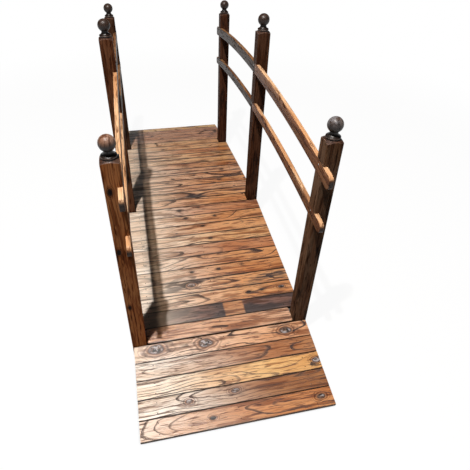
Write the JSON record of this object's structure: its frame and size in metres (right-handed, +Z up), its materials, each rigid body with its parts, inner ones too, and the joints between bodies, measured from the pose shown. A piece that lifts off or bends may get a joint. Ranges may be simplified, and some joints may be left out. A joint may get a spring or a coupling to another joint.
{
  "type": "arched garden bridge",
  "caption": "Low timber garden footbridge: cross boards on arched bearers with a ramp at each end, square posts turned to ball tops, and arched rails let into the posts on both sides.",
  "frame": {"origin": "middle of the footprint, at ground level", "axes": "+Y along the bridge from the end nearest the viewer to the far end, +X to the right of someone walking that way, +Z up"},
  "size_m": [0.811, 2.6252, 1.226],
  "materials": {
    "deck_timber": "brushed scorched softwood with an oil stain, strong dark grain",
    "rail_timber": "brushed scorched softwood, satin",
    "post_timber": "dark scorched softwood, soft gloss on the turned tops",
    "bearer_timber": "scorched softwood, matt"
  },
  "bodies": {
    "root": {"centre_bearer": "bearer_timber", "far_bay_board_1": "deck_timber", "far_bay_board_10": "deck_timber", "far_bay_board_2": "deck_timber", "far_bay_board_3": "deck_timber", "far_bay_board_4": "deck_timber", "far_bay_board_5": "deck_timber", "far_bay_board_6": "deck_timber", "far_bay_board_7": "deck_timber", "far_bay_board_8": "deck_timber", "far_bay_board_9": "deck_timber", "far_left_post": "post_timber", "far_post_board": "deck_timber", "far_ramp_boards": "deck_timber", "far_right_post": "post_timber", "left_bearer": "bearer_timber", "lower_rail_far_left": "rail_timber", "lower_rail_far_right": "rail_timber", "lower_rail_near_left": "rail_timber", "lower_rail_near_right": "rail_timber", "middle_left_post": "post_timber", "middle_post_board": "deck_timber", "middle_right_post": "post_timber", "near_bay_board_1": "deck_timber", "near_bay_board_10": "deck_timber", "near_bay_board_2": "deck_timber", "near_bay_board_3": "deck_timber", "near_bay_board_4": "deck_timber", "near_bay_board_5": "deck_timber", "near_bay_board_6": "deck_timber", "near_bay_board_7": "deck_timber", "near_bay_board_8": "deck_timber", "near_bay_board_9": "deck_timber", "near_left_post": "post_timber", "near_post_board": "deck_timber", "near_ramp_boards": "deck_timber", "near_right_post": "post_timber", "right_bearer": "bearer_timber", "upper_rail_far_left": "rail_timber", "upper_rail_far_right": "rail_timber", "upper_rail_near_left": "rail_timber", "upper_rail_near_right": "rail_timber"}
  },
  "joints": []
}
